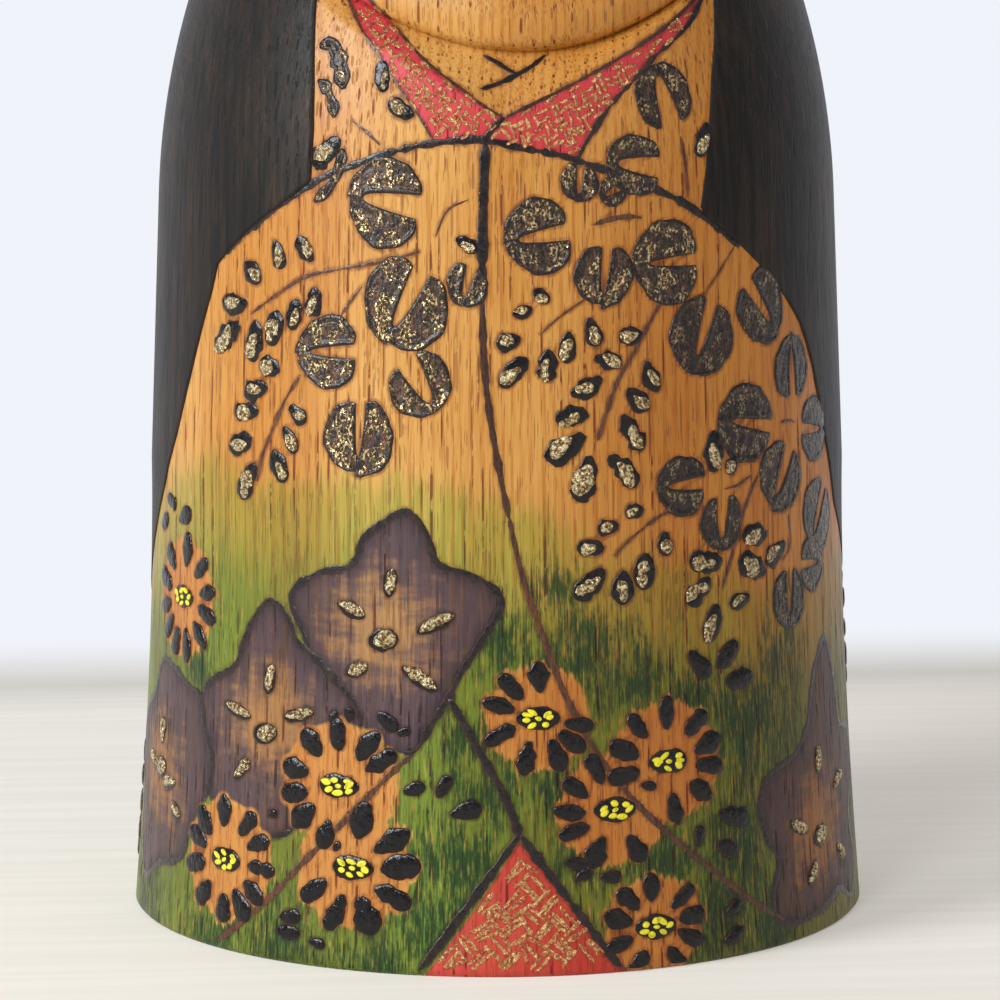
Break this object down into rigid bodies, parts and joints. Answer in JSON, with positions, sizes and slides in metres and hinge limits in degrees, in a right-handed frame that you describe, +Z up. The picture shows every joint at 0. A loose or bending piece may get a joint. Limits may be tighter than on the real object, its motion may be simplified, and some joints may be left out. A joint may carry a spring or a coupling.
{
  "type": "kokeshi doll",
  "caption": "Bullet-shaped turned wooden kokeshi doll in a carved, burned and painted floral kimono, with long black hair and a simple calm face.",
  "frame": {"origin": "centre of the foot, on the plane that the doll stands on", "axes": "+Z up along the turning axis, -Y the way the doll faces, +X towards the doll's left hand side (a viewer's right)"},
  "size_m": [0.09, 0.09, 0.148],
  "materials": {
    "body_wood": "honey-coloured ring-porous wood with open dark pores, stained in green, purple and red washes, satin wax",
    "head_wood": "honey-coloured ring-porous wood with open dark pores, satin wax",
    "dowel_wood": "plain pale beech, unfinished",
    "black_hair": "black stain that lets a little brown grain through, satin wax",
    "burned_line": "branded line of charred wood, slightly glossy",
    "black_relief_paint": "thick glossy black paint",
    "gold_paint": "pale gold paint with coarse metal flakes",
    "yellow_paint": "thick glossy yellow paint",
    "red_paint": "red lip colour, satin"
  },
  "bodies": {
    "root": {"body": "body_wood", "head": "head_wood", "neck_dowel": "dowel_wood"}
  },
  "joints": []
}
